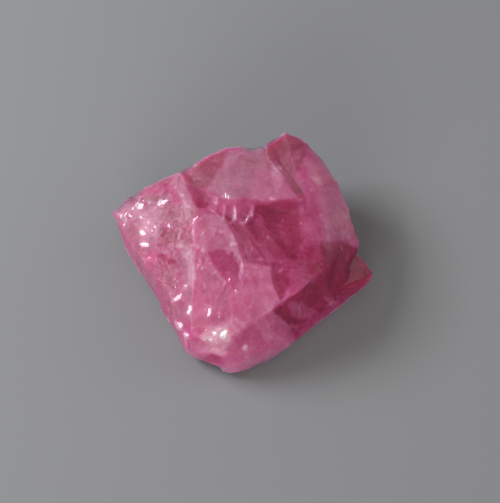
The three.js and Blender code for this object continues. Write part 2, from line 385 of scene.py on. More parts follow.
CHIP_DRIFTS = [
    ((-7.3, 3.9), 1.6, 1.3, -30, 9, 0.07),
    ((-4.6, -1.6), 0.45, 2.4, 25, 10, 0.07),
    ((-1.9, -4.1), 0.9, 0.6, 0, 6, 0.07),
]
CHIP_SEED = 5
SMALL_CHIP = (0.06, 0.12)     # the least and most half width of a small chip
SMALL_CHIP_STRETCH = 1.6      # its half height is drawn from the same range, times this
BRIGHT_TURN = 0.03     # about how far a bright chip faces away from the glint way
CHIP_RIM = (0.85, 1.1)        # where a chip fades out, as a share of its oval
CHIP_STRAY = (0.07, 0.22, (41, 42))     # how far its rim strays, the size of the noise and its seeds
CHIP_DEPTH = 0.35      # how far a chip may cut, as a share of its longer half
CHIP_SPREAD = 2.5      # how far from its middle a chip may reach, as a share of its longer half
CHIP_SEARCH = 0.15     # how near its place on the sight plane a chip's middle is looked for
STEEPEST = 0.35        # the least cosine between the skin's normal and a chip's that a move reckons with
CHIP_BRUISE_AND_GLOW = 0.5        # how much paler the stone round a chip is: partly whiter bruised stone, partly a painted glow round the glint
HALO_TIMES = 12


def all_chips(random):
    """Every chip: its place, half width, half height, turn and how far it faces away from the glint way."""
    for middle, half_across, half_up, lean, count, away in CHIP_DRIFTS:
        angle = math.radians(lean)
        for _ in range(count):
            out, round_it = math.sqrt(random.uniform(0, 1)), random.uniform(0, 2 * math.pi)
            across, up = out * half_across * math.cos(round_it), out * half_up * math.sin(round_it)
            place = (middle[0] + across * math.cos(angle) + up * math.sin(angle),
                     middle[1] + up * math.cos(angle) - across * math.sin(angle))
            half_width = random.uniform(*SMALL_CHIP)
            half_height = SMALL_CHIP_STRETCH * random.uniform(*SMALL_CHIP)
            yield place, half_width, half_height, lean, away
    for place, half_width, half_height, turn in BRIGHT_CHIPS:
        yield place, half_width, half_height, turn, BRIGHT_TURN


def strike_chips(skin, normal):
    """Moves of the skin along its normal that cut the chips, and how much each point is chip.

    Each chip is a flat, ragged oval that faces nearly the glint way: a point moves along its normal to the
    chip's plane, by no more than a share of the chip's longer half.
    """
    random = np.random.default_rng(CHIP_SEED)
    move = np.zeros(skin.shape[:2])
    chipped = np.zeros(skin.shape[:2])
    seen = sight(skin)
    ragged = strayed(seen, skin, lattice_noise, *CHIP_STRAY)
    towards = skin @ TO_VIEWER
    for place, half_width, half_height, turn, away in all_chips(random):
        near = np.hypot(*np.moveaxis(seen - place, -1, 0)) < CHIP_SEARCH
        if not near.any():
            continue
        front = np.where(near, towards, -np.inf).argmax()
        middle = skin.reshape(-1, 3)[front]
        way = GLINT_WAY + random.normal(0, 1, 3) * away / math.sqrt(2)
        way /= np.linalg.norm(way)
        offset = skin - middle
        longer_half = max(half_width, half_height)
        out = np.hypot(*in_oval(ragged, place, half_width, half_height, turn))
        inner = 1 - smooth_step(out, *CHIP_RIM)
        inner = inner * (np.linalg.norm(offset, axis=-1) < CHIP_SPREAD * longer_half)
        to_plane = -(offset @ way) / np.maximum(normal @ way, STEEPEST)
        depth = CHIP_DEPTH * longer_half
        move += inner * (np.clip(to_plane, -depth, depth) - move)
        chipped = np.maximum(chipped, inner)
    return move, chipped


# Scallops: (across, rise) on the sight plane, half width, half height, turn and depth

DEEPEST_SCALLOP = 0.17
SCALLOPS = [
    ((-2.0, 5.2), 0.30, 0.50, 30, 0.06),
    ((-1.5, 4.6), 0.40, 0.75, -15, 0.10),
    ((-0.8, 4.5), 0.45, 0.85, -5, 0.14),
    ((0.3, 4.5), 0.55, 1.00, 20, DEEPEST_SCALLOP),
    ((3.3, -0.4), 0.45, 0.60, 180, 0.03),
    ((-2.9, 3.2), 0.45, 0.50, 30, 0.08),
]
SCALLOP_STRAY = (0.12, 0.7, (81, 85))     # how far its rim strays, the size of the noise and its seeds
SCALLOP_FADE = (-0.4, 0.8)     # where it fades away on its way up, in half heights
CRESCENT_SHIFT = (0.42, -0.15)     # of the oval that hollows the crescent out, in half widths and heights
CRESCENT_RIM = (0.92, 1.08)     # where it fades out, as a share of the scallop's oval
CRESCENT_INNER_RIM = (0.88, 1.08)     # where it sets in, as a share of the shifted oval
CRESCENT_FADE = (0.0, 0.7)     # where it fades away on its way up, in half heights
CRESCENT_START = -0.3     # it lies to the right of this, in half widths


def scallops(skin):
    """Small shells struck out of the break: the depth falls off as 1 - (distance out of the oval) squared.

    Each fades away towards its upper end and is sharp at its lower end. The second result is how much each
    point is on the pale crescent, a painted glint along the scallop's rim, between the scallop's oval and
    the same oval shifted, which is fainter on a shallower scallop.
    """
    seen = strayed(sight(skin), skin, layered_noise, *SCALLOP_STRAY)
    move = np.zeros(seen.shape[:2])
    glint_crescent = np.zeros(seen.shape[:2])
    for middle, half_across, half_up, turn, depth in SCALLOPS:
        beside, upward = in_oval(seen, middle, half_across, half_up, turn)
        out = np.hypot(beside, upward)
        shifted = np.hypot(beside + CRESCENT_SHIFT[0], upward + CRESCENT_SHIFT[1])
        fade = 1 - smooth_step(upward, *SCALLOP_FADE)
        move = np.minimum(move, fade * depth * (np.minimum(out, 1) ** 2 - 1))
        lit = (1 - smooth_step(out, *CRESCENT_RIM)) * smooth_step(shifted, *CRESCENT_INNER_RIM)
        lit = lit * (beside > CRESCENT_START)
        lit = lit * (1 - smooth_step(upward, *CRESCENT_FADE)) * depth / DEEPEST_SCALLOP
        glint_crescent = np.maximum(glint_crescent, lit)
    return move, glint_crescent


# Tone: the milkiness of the stone, from 0 for deep crimson to 1 for crushed white, and its smokiness. The
# tones are partly the stone's own and partly painted light and shade: facets turned towards the window lamp
# are painted paler, facets turned away from it and grooves are painted darker, and some facets that the
# lamps leave dim are painted paler. The smokiness is partly a grey tinge of the stone and partly a painted
# sheen. Each facet or band of the break has a name, its tone and smokiness, how soft its edge is, and its
# corners on the sight plane.
# Later ones lie over earlier ones.

FACETS = {
    # the west end
    "sugary_end": (0.38, 0.9, 0.30, [
        (-9.2, 4.4), (-7.4, 5.7), (-5.2, 5.8), (-4.9, 4.9), (-5.4, 3.4), (-5.9, 1.9), (-6.8, 1.5),
        (-8.0, 2.7)]),
    "sugar_heart": (0.60, 1.0, 0.60, [(-7.2, 4.3), (-5.9, 4.4), (-5.8, 2.6), (-6.9, 2.2)]),
    "back_bank": (0.32, 0.5, 0.15, [
        (-9.3, 4.5), (-8.2, 5.6), (-6.9, 6.4), (-4.8, 7.4), (-4.6, 6.6), (-5.9, 6.2), (-7.4, 5.5),
        (-8.4, 4.9)]),
    "main_crest_band": (0.43, 0.7, 0.10, [
        (-4.7, 7.2), (-4.2, 7.0), (-3.0, 4.7), (-3.0, 4.2), (-3.9, 4.4), (-4.4, 5.4), (-5.0, 6.5)]),
    "plateau": (0.34, 0.7, 0.20, [
        (-5.3, 4.9), (-4.0, 4.9), (-3.1, 4.3), (-3.7, 3.4), (-4.9, 3.2), (-5.5, 3.9)]),
    "plateau_foot": (0.28, 0.4, 0.20, [
        (-5.6, 3.4), (-4.6, 3.3), (-3.4, 3.3), (-3.4, 2.3), (-4.5, 2.1), (-5.8, 2.2)]),
    "west_middle": (0.37, 0.4, 0.25, [(-5.9, 2.2), (-4.6, 2.6), (-3.9, 1.6), (-4.3, -0.4), (-5.8, 0.1)]),
    "west_wall": (0.33, 0.6, 0.15, [(-6.2, 0.9), (-4.4, 0.4), (-3.9, -2.4), (-4.1, -4.4), (-5.4, -2.3)]),
    "west_band": (0.34, 0.7, 0.20, [
        (-8.2, 2.9), (-7.7, 2.8), (-6.6, 1.0), (-5.8, -0.6), (-6.4, -1.0), (-7.5, 0.6)]),
    # a darker spot in the west
    "west_dark_spot": (0.24, 0.0, 0.12, [(-6.0, 1.5), (-5.2, 1.5), (-4.5, 1.1), (-4.6, 0.8), (-5.3, 1.0)]),
    # painted shade: darker in the notch beside the crest, which turns away from the light
    "notch_by_the_crest": (0.30, 0.1, 0.08, [
        (-4.0, 6.4), (-3.3, 6.3), (-2.5, 5.9), (-2.3, 5.0), (-2.7, 4.5), (-3.1, 4.7)]),
    # the back
    "back_slope": (0.24, 0.6, 0.15, [
        (-4.3, 7.3), (-2.2, 8.3), (-0.9, 9.0), (-0.3, 8.0), (-2.0, 6.2), (-3.6, 6.3)]),
    # its grey is a painted sheen, where the face reflects the light
    "mauve_face": (0.46, 0.9, 0.20, [
        (-2.4, 6.0), (-0.6, 8.9), (1.7, 9.0), (2.0, 7.7), (0.9, 5.6), (-0.8, 5.2)]),
    # painted light: paler, where the facet turns towards the window lamp
    "pale_triangle": (0.54, 0.5, 0.10, [
        (0.9, 7.4), (1.9, 7.6), (3.1, 6.5), (3.9, 5.3), (2.4, 5.2), (0.4, 5.3)]),
    # its grey is partly a painted sheen
    "knob": (0.25, 0.5, 0.12, [(1.6, 8.9), (3.2, 10.2), (4.6, 9.4), (4.3, 8.0), (3.6, 6.9), (2.2, 7.8)]),
    "knob_flecks": (0.48, 0.5, 0.20, [(3.6, 8.2), (4.0, 9.1), (4.3, 9.1), (4.0, 8.2)]),
    # its grey is a painted sheen, and it is painted paler where the lamps leave the steep strip dim
    "grey_sheen_strip": (0.36, 0.6, 0.12, [
        (1.9, 8.1), (2.9, 7.7), (4.2, 6.4), (4.3, 5.8), (3.9, 5.5), (3.1, 6.5), (1.9, 7.6)]),
    "east_shoulder": (0.60, 0.1, 0.50, [
        (4.4, 8.2), (5.4, 8.2), (7.6, 5.0), (7.8, 2.6), (5.6, 2.2), (5.2, 5.4)]),
    # painted shade: darker, where the facet faces the fill lamp
    "east_shoulder_foot": (0.36, 0.1, 0.50, [(4.0, 5.2), (5.1, 5.6), (5.7, 2.4), (5.4, 1.6), (4.0, 2.0)]),
    "east_fleck": (0.85, 0.3, 0.12, [(4.9, 7.0), (5.6, 6.9), (5.8, 6.4), (5.4, 6.3)]),
    # painted light: paler along the rim, which the lamps leave dim
    "east_rim": (0.70, 0.0, 0.30, [
        (4.9, 8.8), (5.4, 8.7), (6.8, 7.0), (7.7, 5.0), (7.9, 3.4), (7.4, 3.2), (6.8, 5.6), (5.6, 7.6)]),
    # the hollow and the east side
    "hollow": (0.21, 0.0, 0.25, [(0.2, 3.6), (1.0, 5.1), (3.9, 5.1), (4.2, 3.0), (4.2, 0.4), (2.2, 1.2)]),
    "low_east": (0.26, 0.0, 0.30, [(4.2, 2.5), (7.4, 2.3), (7.5, 1.4), (5.4, 0.1), (4.3, -0.4)]),
    "east_field": (0.38, 0.0, 0.20, [(3.1, 1.2), (4.4, 1.4), (5.0, -0.3), (3.3, -1.4), (3.0, -0.6)]),
    "east_groove": (0.27, 0.0, 0.12, [
        (2.0, 1.0), (3.4, 1.0), (3.2, -0.6), (2.7, -1.6), (2.4, -1.4), (2.1, -0.4)]),
    # the blades
    # painted shade: darker in the groove
    "groove": (0.30, 0.1, 0.08, [
        (-1.1, 4.2), (0.0, 3.6), (0.5, 2.8), (1.2, 1.9), (1.9, 0.8), (0.1, 0.6), (-0.2, 2.0), (-0.7, 3.2)]),
    # painted light: paler on the steep side, which faces away from the window lamp
    "blade_side": (0.44, 0.2, 0.08, [
        (-1.2, 4.1), (-0.8, 3.8), (0.0, 2.4), (0.6, 0.8), (0.1, 0.9), (-0.2, 2.0), (-0.7, 3.2)]),
    "long_blade": (0.58, 0.4, 0.06, [
        (-2.6, 4.3), (-1.2, 4.1), (-0.7, 3.2), (-0.2, 2.0), (0.1, 0.9), (-0.9, 0.0), (-3.3, 2.3),
        (-3.4, 3.5)]),
    "blade_low": (0.52, 0.4, 0.30, [
        (-2.4, 2.9), (-1.2, 3.0), (-0.4, 2.4), (0.2, 0.9), (-0.6, 0.6), (-2.3, 1.7)]),
    "blade_shade": (0.38, 0.0, 0.12, [
        (-2.3, 1.6), (-1.6, 1.9), (-0.6, 1.7), (0.1, 1.0), (0.1, 0.2), (-0.9, 0.2), (-1.4, 0.0)]),
    "wedge_border": (0.40, 0.8, 0.15, [(-4.3, 2.4), (-3.2, 2.2), (-3.2, -3.6), (-3.9, -2.6), (-4.0, 0.0)]),
    # painted light: paler on the narrow facet that turns towards the window lamp
    "wedge_line": (0.58, 0.9, 0.12, [(-3.8, 1.7), (-3.2, 2.1), (-3.2, -0.8), (-3.6, -0.6)]),
    "wedge": (0.48, 0.3, 0.04, [
        (-3.3, 2.2), (-2.4, 1.2), (-1.3, -0.2), (-0.8, -1.5), (-0.7, -3.0), (-1.6, -3.6), (-3.2, -3.6)]),
    "low_middle": (0.60, 0.1, 0.08, [
        (0.0, 0.9), (1.9, 0.7), (2.1, -0.4), (2.5, -1.4), (2.1, -2.4), (1.2, -3.1), (-0.3, -4.0),
        (-0.7, -3.2), (-0.8, -1.4), (-0.2, -0.3)]),
    "notch": (0.46, 0.0, 0.15, [(-0.9, 0.1), (-0.2, 0.1), (-0.3, -0.9), (-0.8, -1.0)]),
    # the front wall
    # painted shade: deep on the wall that faces away from the window lamp
    "front_wall": (0.16, 0.0, 0.12, [
        (2.2, -2.4), (3.3, -1.4), (5.0, -0.4), (5.8, 0.4), (6.2, 1.6), (7.0, 2.3), (8.3, 2.0), (9.3, 0.2),
        (8.2, -0.9), (5.8, -2.5), (4.0, -3.4), (3.2, -3.2)]),
    "front_window": (0.34, 0.1, 0.15, [(3.3, -1.9), (4.2, -1.8), (5.4, -2.5), (4.8, -3.0), (3.5, -2.8)]),
    "front_patch": (0.42, 0.0, 0.10, [(5.7, -1.5), (6.3, -1.5), (6.9, -2.1), (6.4, -2.2)]),
    "front_foot": (0.28, 0.0, 0.15, [
        (9.4, 0.0), (8.2, -0.8), (5.8, -2.4), (4.0, -3.4), (3.4, -3.6), (3.9, -4.6), (6.4, -3.1),
        (8.8, -1.0)]),
    "front_streak": (0.60, 0.0, 0.08, [
        (0.9, -2.9), (1.6, -2.9), (2.7, -4.1), (3.4, -4.7), (2.4, -5.1), (1.4, -4.2)]),
    "front_wedge": (0.48, 0.0, 0.08, [(1.6, -2.9), (2.2, -2.4), (3.1, -3.3), (3.6, -4.1), (2.6, -4.1)]),
    # the toe
    "toe": (0.57, 0.0, 0.15, [
        (-4.0, -4.4), (-3.6, -5.6), (-2.2, -6.5), (0.0, -7.0), (1.6, -6.1), (3.3, -5.0), (2.0, -4.7),
        (-0.6, -4.4)]),
    # painted light: paler along the rim, which faces down and gets little light
    "toe_rim": (0.58, 0.0, 0.25, [
        (-2.8, -5.9), (-1.2, -6.9), (0.2, -6.8), (3.4, -4.9), (2.6, -4.9), (0.6, -5.9), (-1.2, -6.1)]),
    "toe_shade": (0.52, 0.0, 0.12, [
        (-1.1, -4.9), (0.0, -3.9), (1.2, -3.8), (1.9, -4.6), (1.5, -5.3), (-0.2, -5.8), (-1.0, -5.6)]),
    # a darker spot on the toe
    "toe_dark_spot": (0.40, 0.0, 0.20, [(-2.6, -5.7), (-2.0, -5.2), (-1.4, -5.5), (-1.3, -6.0), (-2.2, -6.0)]),
    "toe_corner": (0.56, 0.3, 0.20, [(-4.0, -4.4), (-2.9, -4.6), (-2.5, -5.6), (-3.0, -6.0), (-3.8, -5.3)]),
    # partly whiter crushed stone, partly a painted highlight round the toe's glints
    "bruise": (0.74, 0.5, 0.30, [
        (-2.8, -4.2), (-1.7, -3.4), (-0.8, -3.2), (-0.6, -4.3), (-1.1, -5.2), (-1.7, -5.3), (-2.6, -5.0)]),
}
PLAIN_TONE = 0.48     # between the facets
FAR_TONE = 0.36
FAR_SMOKE = 0.6
FACET_STRAY = (0.24, 0.9, (31, 35))     # how far its edges stray, the size of the noise and its seeds
FACING_FRONT = (0.02, 0.25)     # the cosines between which the far side's tone gives way to the facets'


def paint(skin, normal):
    """The milkiness of the stone at each point, which is partly painted light and shade, and its smokiness,
    which is partly a painted sheen.

    Each facet's tone is laid over the ones before it, and its share rises from 0 to 1 across its soft edge.
    """
    seen = strayed(sight(skin), skin, layered_noise, *FACET_STRAY)
    milk_and_painted_light = np.full(skin.shape[:2], PLAIN_TONE)
    smoke_and_sheen = np.zeros(skin.shape[:2])
    for facet_milk_and_light, smoke_and_sheen_grey, softness, corners in FACETS.values():
        share = smooth_step(inside(seen, corners), -softness, softness)
        milk_and_painted_light += (facet_milk_and_light - milk_and_painted_light) * share
        smoke_and_sheen += (smoke_and_sheen_grey - smoke_and_sheen) * share
    front = smooth_step(normal @ TO_VIEWER, *FACING_FRONT)
    return FAR_TONE + (milk_and_painted_light - FAR_TONE) * front, FAR_SMOKE + (smoke_and_sheen - FAR_SMOKE) * front


# Meshes

def write_grid(name, skin, values, sharp):
    """A closed mesh from the grid: quads between rows, and one point at each pole.

    Values are per grid point. Quads that start where `sharp` is true are flat, and the others are smooth.
    """
    count = BEARINGS * FALLS
    top, bottom = skin[:, 0].mean(axis=0), skin[:, -1].mean(axis=0)
    places = np.concatenate([skin.reshape(-1, 3), [top], [bottom]]) * MM
    bearing, fall = np.meshgrid(np.arange(BEARINGS), np.arange(FALLS - 1), indexing="ij")
    here = bearing * FALLS + fall
    after = (bearing + 1) % BEARINGS * FALLS + fall
    quads = np.stack([here, here + 1, after + 1, after], axis=-1).reshape(-1, 4)
    first = np.arange(BEARINGS) * FALLS
    second = np.roll(first, -1)
    lid = np.stack([first, second, np.full(BEARINGS, count)], axis=-1)
    sole = np.stack([second + FALLS - 1, first + FALLS - 1, np.full(BEARINGS, count + 1)], axis=-1)
    mesh = bpy.data.meshes.new(name)
    mesh.from_pydata(places.tolist(), [], quads.tolist() + lid.tolist() + sole.tolist())
    smooth = np.ones(len(mesh.polygons), bool)
    smooth[:len(quads)] = ~sharp[:, :-1].reshape(-1)
    mesh.polygons.foreach_set("use_smooth", smooth)
    for label, value in values.items():
        flat = np.concatenate([value.reshape(-1), [value[:, 0].mean()], [value[:, -1].mean()]])
        mesh.attributes.new(label, "FLOAT", "POINT").data.foreach_set("value", flat.astype(np.float32))
    mesh.update()
    piece = bpy.data.objects.new(name, mesh)
    bpy.context.collection.objects.link(piece)
    return piece


# Materials

NOISE_ROUGHNESS = 0.6
NOISE_MIDDLE = 0.5
# The stone's colour at each tone
TONES = [
    (0.00, (0.24, 0.003, 0.034)),
    (0.25, (0.46, 0.030, 0.135)),
    (0.50, (0.65, 0.120, 0.310)),
    (0.75, (0.81, 0.290, 0.470)),
    (1.00, (0.95, 0.620, 0.740)),
]
TONE_CLOUDS = ((2.2, 3, 0.34), (0.8, 3, 0.40), (0.25, 3, 0.30))     # size in mm, detail and strength
FLECKS = (0.62, 1)     # size in mm and detail
FLECK_START = 0.65     # the noise above this makes a pale fleck
FLECK_STRENGTH = 2.0
SMOKE_SATURATION = 0.72
SMOKE_VALUE = 0.97
TRANSMISSION = 0.4
TOURMALINE_IOR = 1.62
SPECULAR_LEVEL = 0.2
SCATTER_RADIUS = (3.6, 1.0, 1.7)     # in mm, longest for red
ABSORPTION_COLOUR = (0.86, 0.16, 0.42, 1)
ABSORPTION_DENSITY = 250
WAXY_ROUGHNESS = 0.28     # of a broken facet, before the noise is added
ROUGHNESS_NOISE = (0.5, 3, 0.20)     # size in mm, detail and strength
CHIP_GLOSS = 0.22     # how much less rough a chip is
WORN_DULLNESS = 0.25     # how much rougher a worn crest is
BREAK_GRAIN = (0.16, 3)     # size in mm and detail of the finest grain
BREAK_GRAIN_HEIGHT = 0.018
BREAK_GRAIN_STRENGTH = 0.35
FLOOR_COLOUR = (0.225, 0.234, 0.242, 1)
FLOOR_ROUGHNESS = 0.8


def new_material(name):
    """An empty material with its nodes and links."""
    material = bpy.data.materials.new(name)
    material.use_nodes = True
    return material, material.node_tree.nodes, material.node_tree.links


def combine(nodes, links, operation, first, second):
    """A Math node on two sockets or numbers; returns its output."""
    node = nodes.new("ShaderNodeMath")
    node.operation = operation
    for socket, value in zip(node.inputs, (first, second)):
        if isinstance(value, (int, float)):
            socket.default_value = value
        else:
            links.new(value, socket)
    return node.outputs[0]


def noise(nodes, links, place, size, detail):
    """A Noise Texture on Object coordinates, with features about `size` mm across."""
    node = nodes.new("ShaderNodeTexNoise")
    node.inputs["Scale"].default_value = 1 / (size * MM)
    node.inputs["Detail"].default_value = detail
    node.inputs["Roughness"].default_value = NOISE_ROUGHNESS
    links.new(place, node.inputs["Vector"])
    return node.outputs["Fac"]


def attribute(nodes, name):
    """A value that the stone's mesh carries at its points."""
    node = nodes.new("ShaderNodeAttribute")
    node.attribute_name = name
    return node.outputs["Fac"]


def rubellite_colour(nodes, links, place):
    """The colour of the facet's tone, clouded by three sizes of noise, with small pale flecks and smokiness.
    The tone is partly painted light and shade, and the smokiness partly a painted sheen.
    """
    # the tone is partly painted light and shade
    tone = attribute(nodes, "milk_and_painted_light")
    for size, detail, strength in TONE_CLOUDS:
        cloud = combine(nodes, links, "SUBTRACT", noise(nodes, links, place, size, detail), NOISE_MIDDLE)
        tone = combine(nodes, links, "ADD", tone, combine(nodes, links, "MULTIPLY", cloud, strength))
    fleck = combine(nodes, links, "SUBTRACT", noise(nodes, links, place, *FLECKS), FLECK_START)
    fleck = combine(nodes, links, "MULTIPLY", fleck, FLECK_STRENGTH)
    tone = combine(nodes, links, "ADD", tone, combine(nodes, links, "MAXIMUM", fleck, 0.0))
    ramp = nodes.new("ShaderNodeValToRGB")
    while len(ramp.color_ramp.elements) < len(TONES):
        ramp.color_ramp.elements.new(1)
    for element, (position, colour) in zip(ramp.color_ramp.elements, TONES):
        element.position = position
        element.color = (*colour, 1)
    links.new(tone, ramp.inputs["Fac"])
    smoke_and_sheen_grey = nodes.new("ShaderNodeHueSaturation")
    smoke_and_sheen_grey.inputs["Saturation"].default_value = SMOKE_SATURATION
    smoke_and_sheen_grey.inputs["Value"].default_value = SMOKE_VALUE
    # the smokiness is partly a painted sheen
    links.new(attribute(nodes, "smoke_and_sheen"), smoke_and_sheen_grey.inputs["Fac"])
    links.new(ramp.outputs["Color"], smoke_and_sheen_grey.inputs["Color"])
    return smoke_and_sheen_grey.outputs["Color"]


def rubellite_roughness(nodes, links, place):
    """Waxy on the broken facets, duller where crests are worn or grains crushed, and glassy on the chips."""
    size, detail, strength = ROUGHNESS_NOISE
    waxy = combine(nodes, links, "MULTIPLY", noise(nodes, links, place, size, detail), strength)
    waxy = combine(nodes, links, "ADD", waxy, WAXY_ROUGHNESS)
    glassy = combine(nodes, links, "MULTIPLY", attribute(nodes, "chipped"), -CHIP_GLOSS)
    dull = combine(nodes, links, "MULTIPLY", attribute(nodes, "worn"), WORN_DULLNESS)
    return combine(nodes, links, "ADD", combine(nodes, links, "ADD", waxy, dull), glassy)


def rubellite_material():
    """Clouded pink stone that scatters light, lets some through and deepens its colour with depth."""
    material, nodes, links = new_material("rubellite")
    shader = nodes["Principled BSDF"]
    shader.inputs["Transmission Weight"].default_value = TRANSMISSION
    shader.inputs["IOR"].default_value = TOURMALINE_IOR
    shader.inputs["Specular IOR Level"].default_value = SPECULAR_LEVEL
    shader.inputs["Subsurface Weight"].default_value = 1.0
    shader.inputs["Subsurface Radius"].default_value = SCATTER_RADIUS
    shader.inputs["Subsurface Scale"].default_value = MM
    place = nodes.new("ShaderNodeTexCoord").outputs["Object"]
    links.new(rubellite_colour(nodes, links, place), shader.inputs["Base Color"])
    links.new(rubellite_roughness(nodes, links, place), shader.inputs["Roughness"])
    bump = nodes.new("ShaderNodeBump")
    bump.inputs["Strength"].default_value = BREAK_GRAIN_STRENGTH
    bump.inputs["Distance"].default_value = BREAK_GRAIN_HEIGHT * MM
    links.new(noise(nodes, links, place, *BREAK_GRAIN), bump.inputs["Height"])
    links.new(bump.outputs["Normal"], shader.inputs["Normal"])
    depth = nodes.new("ShaderNodeVolumeAbsorption")
    depth.inputs["Color"].default_value = ABSORPTION_COLOUR
    depth.inputs["Density"].default_value = ABSORPTION_DENSITY
    links.new(depth.outputs["Volume"], nodes["Material Output"].inputs["Volume"])
    return material


def floor_material():
    """Plain dull grey."""
    material, nodes, _ = new_material("floor")
    shader = nodes["Principled BSDF"]
    shader.inputs["Base Color"].default_value = FLOOR_COLOUR
    shader.inputs["Roughness"].default_value = FLOOR_ROUGHNESS
    return material


# The stone

# Where the break is crushed besides the west end, by corners on the sight plane
CRUSHED = {
    "bruise": [(-2.3, -3.5), (-0.7, -3.2), (-0.7, -4.3), (-2.3, -4.9)],
    "west_edge": [(-5.3, -0.4), (-4.2, -0.8), (-3.7, -2.6), (-3.7, -4.4), (-4.4, -4.2), (-5.2, -2.4)],
}
CRUSHED_SHARE = 0.5     # how crushed it is there, where the west end is 1
CRUSHED_HEIGHT = 1.5    # how high up it starts there
WEST_END = (3.9, 4.9)   # how far west the crushed end starts, and where it is crushed in full
WEST_END_STRAY = 0.7    # how far that strays
WEST_END_NOISE = (1.5, 3)     # size and seed
CRUSHED_SLOPE = (0.45, 0.75)     # the upward share of the normal between which a west facet becomes crushed
OUTLINE_FADE = 0.25

# Where the break is rounded: how high up it starts, and its corners on the sight plane
ROUNDED = {
    "back_of_the_hollow": (4.8, [(0.0, 5.6), (4.2, 5.6), (4.2, 4.8), (0.4, 4.6)]),
    "root_of_the_toe": (1.4, [(-1.3, -3.4), (1.6, -3.0), (2.4, -4.6), (0.6, -5.7), (-1.4, -5.2)]),
    "notch_by_the_crest": (4.4, [(-4.3, 6.6), (-2.6, 6.5), (-2.0, 4.8), (-3.2, 3.6), (-4.1, 4.8)]),
    "base_of_the_toe": (-0.5, [
        (-4.6, -5.2), (-3.6, -5.0), (-2.6, -5.5), (-1.0, -6.1), (1.2, -5.7), (1.6, -6.4), (-0.8, -7.6),
        (-3.2, -6.9), (-4.6, -5.8)]),
    "end_of_the_blade": (5.0, [(-0.5, 0.8), (0.5, 0.8), (0.4, -1.6), (-0.6, -1.6)]),
    "east_shoulder": (4.0, [(4.4, 8.6), (5.6, 8.2), (7.4, 5.4), (7.8, 3.0), (5.8, 2.2), (4.6, 4.0)]),
}
ROUNDED_FADE = 0.4     # how far up from its start the rounding sets in
ROUNDED_TIMES = 40

# Flake scars: size, depth, tilt, height of the ribs and seed
WALL_SCARS = (2.6, 0.07, 0.03, 0.006, 11)
SMALL_WALL_SCARS = (1.0, 0.03, 0.02, 0.004, 13)
FAR_SCARS = (3.4, 0.30, 0.05, 0.014, 17)
SMALL_FAR_SCARS = (1.3, 0.10, 0.08, 0.008, 19)
SCARS_ON_TOP = 0.15     # how deep the wall scars are on the level facets, as a share
SMALL_SCARS_ON_TOP = 0.10
# Crushed grains: size, tilt, width of the joints and seed
COARSE_GRAINS = (1.3, 0.06, 0.03, 12)
FINE_GRAINS = (0.36, 0.25, 0.005, 14)
PLAIN_GRAIN = 0.12      # how high the fine grains are off the crushed places, as a share
CRUSHED_GRAIN = 0.12    # how much higher they are where the break is crushed
PATCHY_GRAIN = 0.26     # and how much higher again in patches there
PATCHES = (2.2, 8)      # size and seed of the patches that have small scars and high grains
PATCH_EDGE = (-0.25, 0.25)           # the noise between which a patch sets in
SCAR_STRAY = (0.5, 1.8, (71, 72, 73))      # how far the scars are bent, the size of the noise and its seeds
GRAIN_STRAY = (0.15, 0.9, (61, 62, 63))    # the same for the coarse grains
UNEVEN_HEIGHT = 0.022
UNEVENNESS = (0.9, 21)               # size and seed
FINE_UNEVEN_HEIGHT = 0.014
FINE_UNEVENNESS = (0.35, 22, 2)      # size, seed and layers
DEEPEST = 0.20          # the relief is kept between these, and goes further on the far side
HIGHEST = 0.07
FAR_DEEPER = 0.25
FAR_HIGHER = 0.05
WALL_SLOPE = (0.3, 0.7)      # the upward share of the normal between which a wall becomes a level facet
FAR_SIDE = (-0.05, 0.30)     # the cosines to the front between which the far side ends
SCALLOP_SLOPE = (0.5, 0.8)   # the upward share of the normal between which scallops set in
DENT_DEPTH = 0.06            # of the dents round the foot
DENTS = (1.4, 55)            # size and seed
DENT_BIAS = 0.3              # above 0 takes more off than it adds
FOOT_RISE = (1.2, 2.0)       # the heights between which the dents end
CREST_TIMES = 14             # how widely the crests are sought
NIBBLES = (0.45, 51)         # size and seed of the nibbles out of the crests
NIBBLE_EDGE = (-0.10, 0.30)  # the noise between which a nibble sets in
NIBBLED_CREST = 0.10         # no more than this much of a crest is nibbled
NIBBLED_SHARE = 0.9
SHARP_CREST = 0.02           # past this far out of its surroundings, a quad is flat
SHARP_CRUSHED = 0.5
SHARP_CHIP = 0.3
CREST_PALE_AND_GROOVE_SHADE = 0.5           # how much paler a crest is, partly for its worn whitish edge and partly as a painted highlight, and how much darker a groove is, as painted shade, for each mm that it stands out or sinks in
CREST_AND_GROOVE_RANGE = (-0.10, 0.12)
# how much paler the crescents on the scallops' rims are: a painted glint
CRESCENT_GLINT_PAINT = 0.34
WORN_CREST = (0.005, 0.03)   # how far out a crest stands where it is worn
WORN_CRUSHED = 0.6
OFF_THE_FOOT = (0.02, 0.35)  # the heights between which the relief sets in
TIP = (8.5, 9.1)             # how far west the tip starts, where the relief is weaker
TIP_LOSS = 0.8
BROAD_TIMES = 3              # how widely a point's facing is averaged for its relief
PAINT_TIMES = 12             # and for its tone


def rounded_off(skin, seen):
    """The skin, drawn to its averaged surroundings where the break is rounded."""
    rounded = np.zeros(skin.shape[:2])
    for lowest, corners in ROUNDED.values():
        within = smooth_step(inside(seen, corners), -OUTLINE_FADE, OUTLINE_FADE)
        above = smooth_step(skin[..., 2], lowest, lowest + ROUNDED_FADE)
        rounded = np.maximum(rounded, within * above)
    return skin + rounded[..., None] * (spread_out(skin, ROUNDED_TIMES) - skin)


